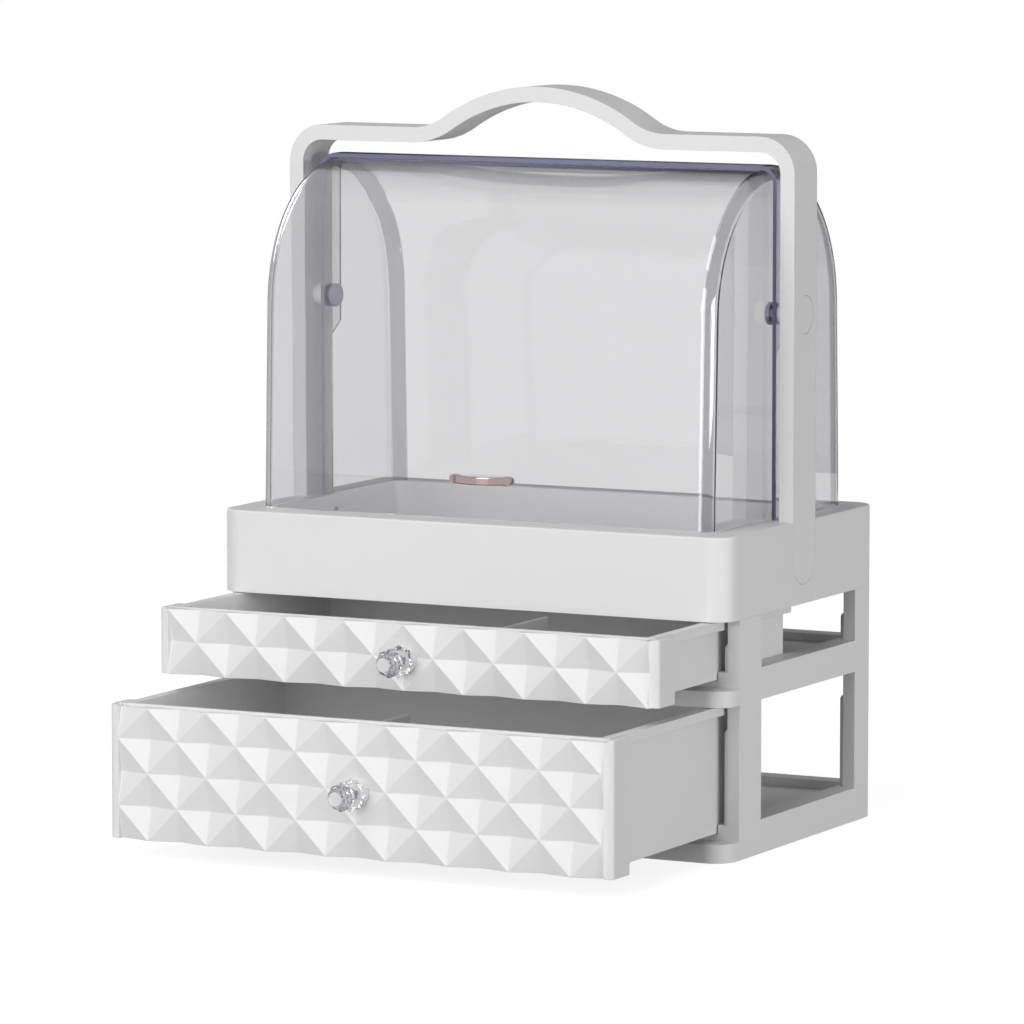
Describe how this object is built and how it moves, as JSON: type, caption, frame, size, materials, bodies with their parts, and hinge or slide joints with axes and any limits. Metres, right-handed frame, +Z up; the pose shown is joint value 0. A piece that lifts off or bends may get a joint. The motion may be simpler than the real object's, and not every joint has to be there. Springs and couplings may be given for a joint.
{
  "type": "cosmetic organizer box",
  "caption": "Countertop storage box: a deep tray under a swing-up clear cover and a carrying handle, on an open frame with faceted sliding drawers.",
  "frame": {"origin": "middle of the base plate's underside, on the surface the box stands on", "axes": "+X to the right seen from the front, +Y to the back (the drawers open towards -Y), +Z up"},
  "size_m": [0.32, 0.3549, 0.42],
  "materials": {
    "white_plastic": "semi-gloss",
    "clear_plastic": "clear, polished",
    "clear_acrylic": "clear, faceted",
    "chrome_trim": "bright plating",
    "screw_steel": "zinc plated"
  },
  "bodies": {
    "main": {"base_plate": "white_plastic", "left_side_frame": "white_plastic", "right_side_frame": "white_plastic", "middle_shelf": "white_plastic", "upper_tray": "white_plastic", "rear_cover": "clear_plastic", "handle": "white_plastic", "frame_screws": "screw_steel", "handle_screws": "screw_steel", "pivot_screws": "screw_steel", "left_pivot_stud": "clear_plastic", "right_pivot_stud": "clear_plastic", "left_pivot_cap": "white_plastic", "right_pivot_cap": "white_plastic", "left_pivot_spacer": "white_plastic", "right_pivot_spacer": "white_plastic"},
    "front_cover": {"front_cover": "clear_plastic", "cover_pull": "chrome_trim", "cover_pull_screws": "screw_steel"},
    "upper_drawer": {"upper_drawer_box": "white_plastic", "upper_drawer_front": "white_plastic", "upper_drawer_divider": "white_plastic", "upper_knob": "clear_acrylic", "upper_knob_screw": "screw_steel", "upper_front_screws": "screw_steel"},
    "lower_drawer": {"lower_drawer_box": "white_plastic", "lower_drawer_front": "white_plastic", "lower_drawer_divider": "white_plastic", "lower_knob": "clear_acrylic", "lower_knob_screw": "screw_steel", "lower_front_screws": "screw_steel"}
  },
  "joints": [
    {"name": "front_cover_hinge", "type": "hinge", "parent": "main", "child": "front_cover", "pos_m": [0, 0, 0.2958], "axis": [-1, 0, 0], "range_deg": [0, 88]},
    {"name": "upper_drawer_slide", "type": "slide", "parent": "main", "child": "upper_drawer", "axis": [0, -1, 0], "range_m": [-0.071, 0.069]},
    {"name": "lower_drawer_slide", "type": "slide", "parent": "main", "child": "lower_drawer", "axis": [0, -1, 0], "range_m": [-0.126, 0.014]}
  ]
}
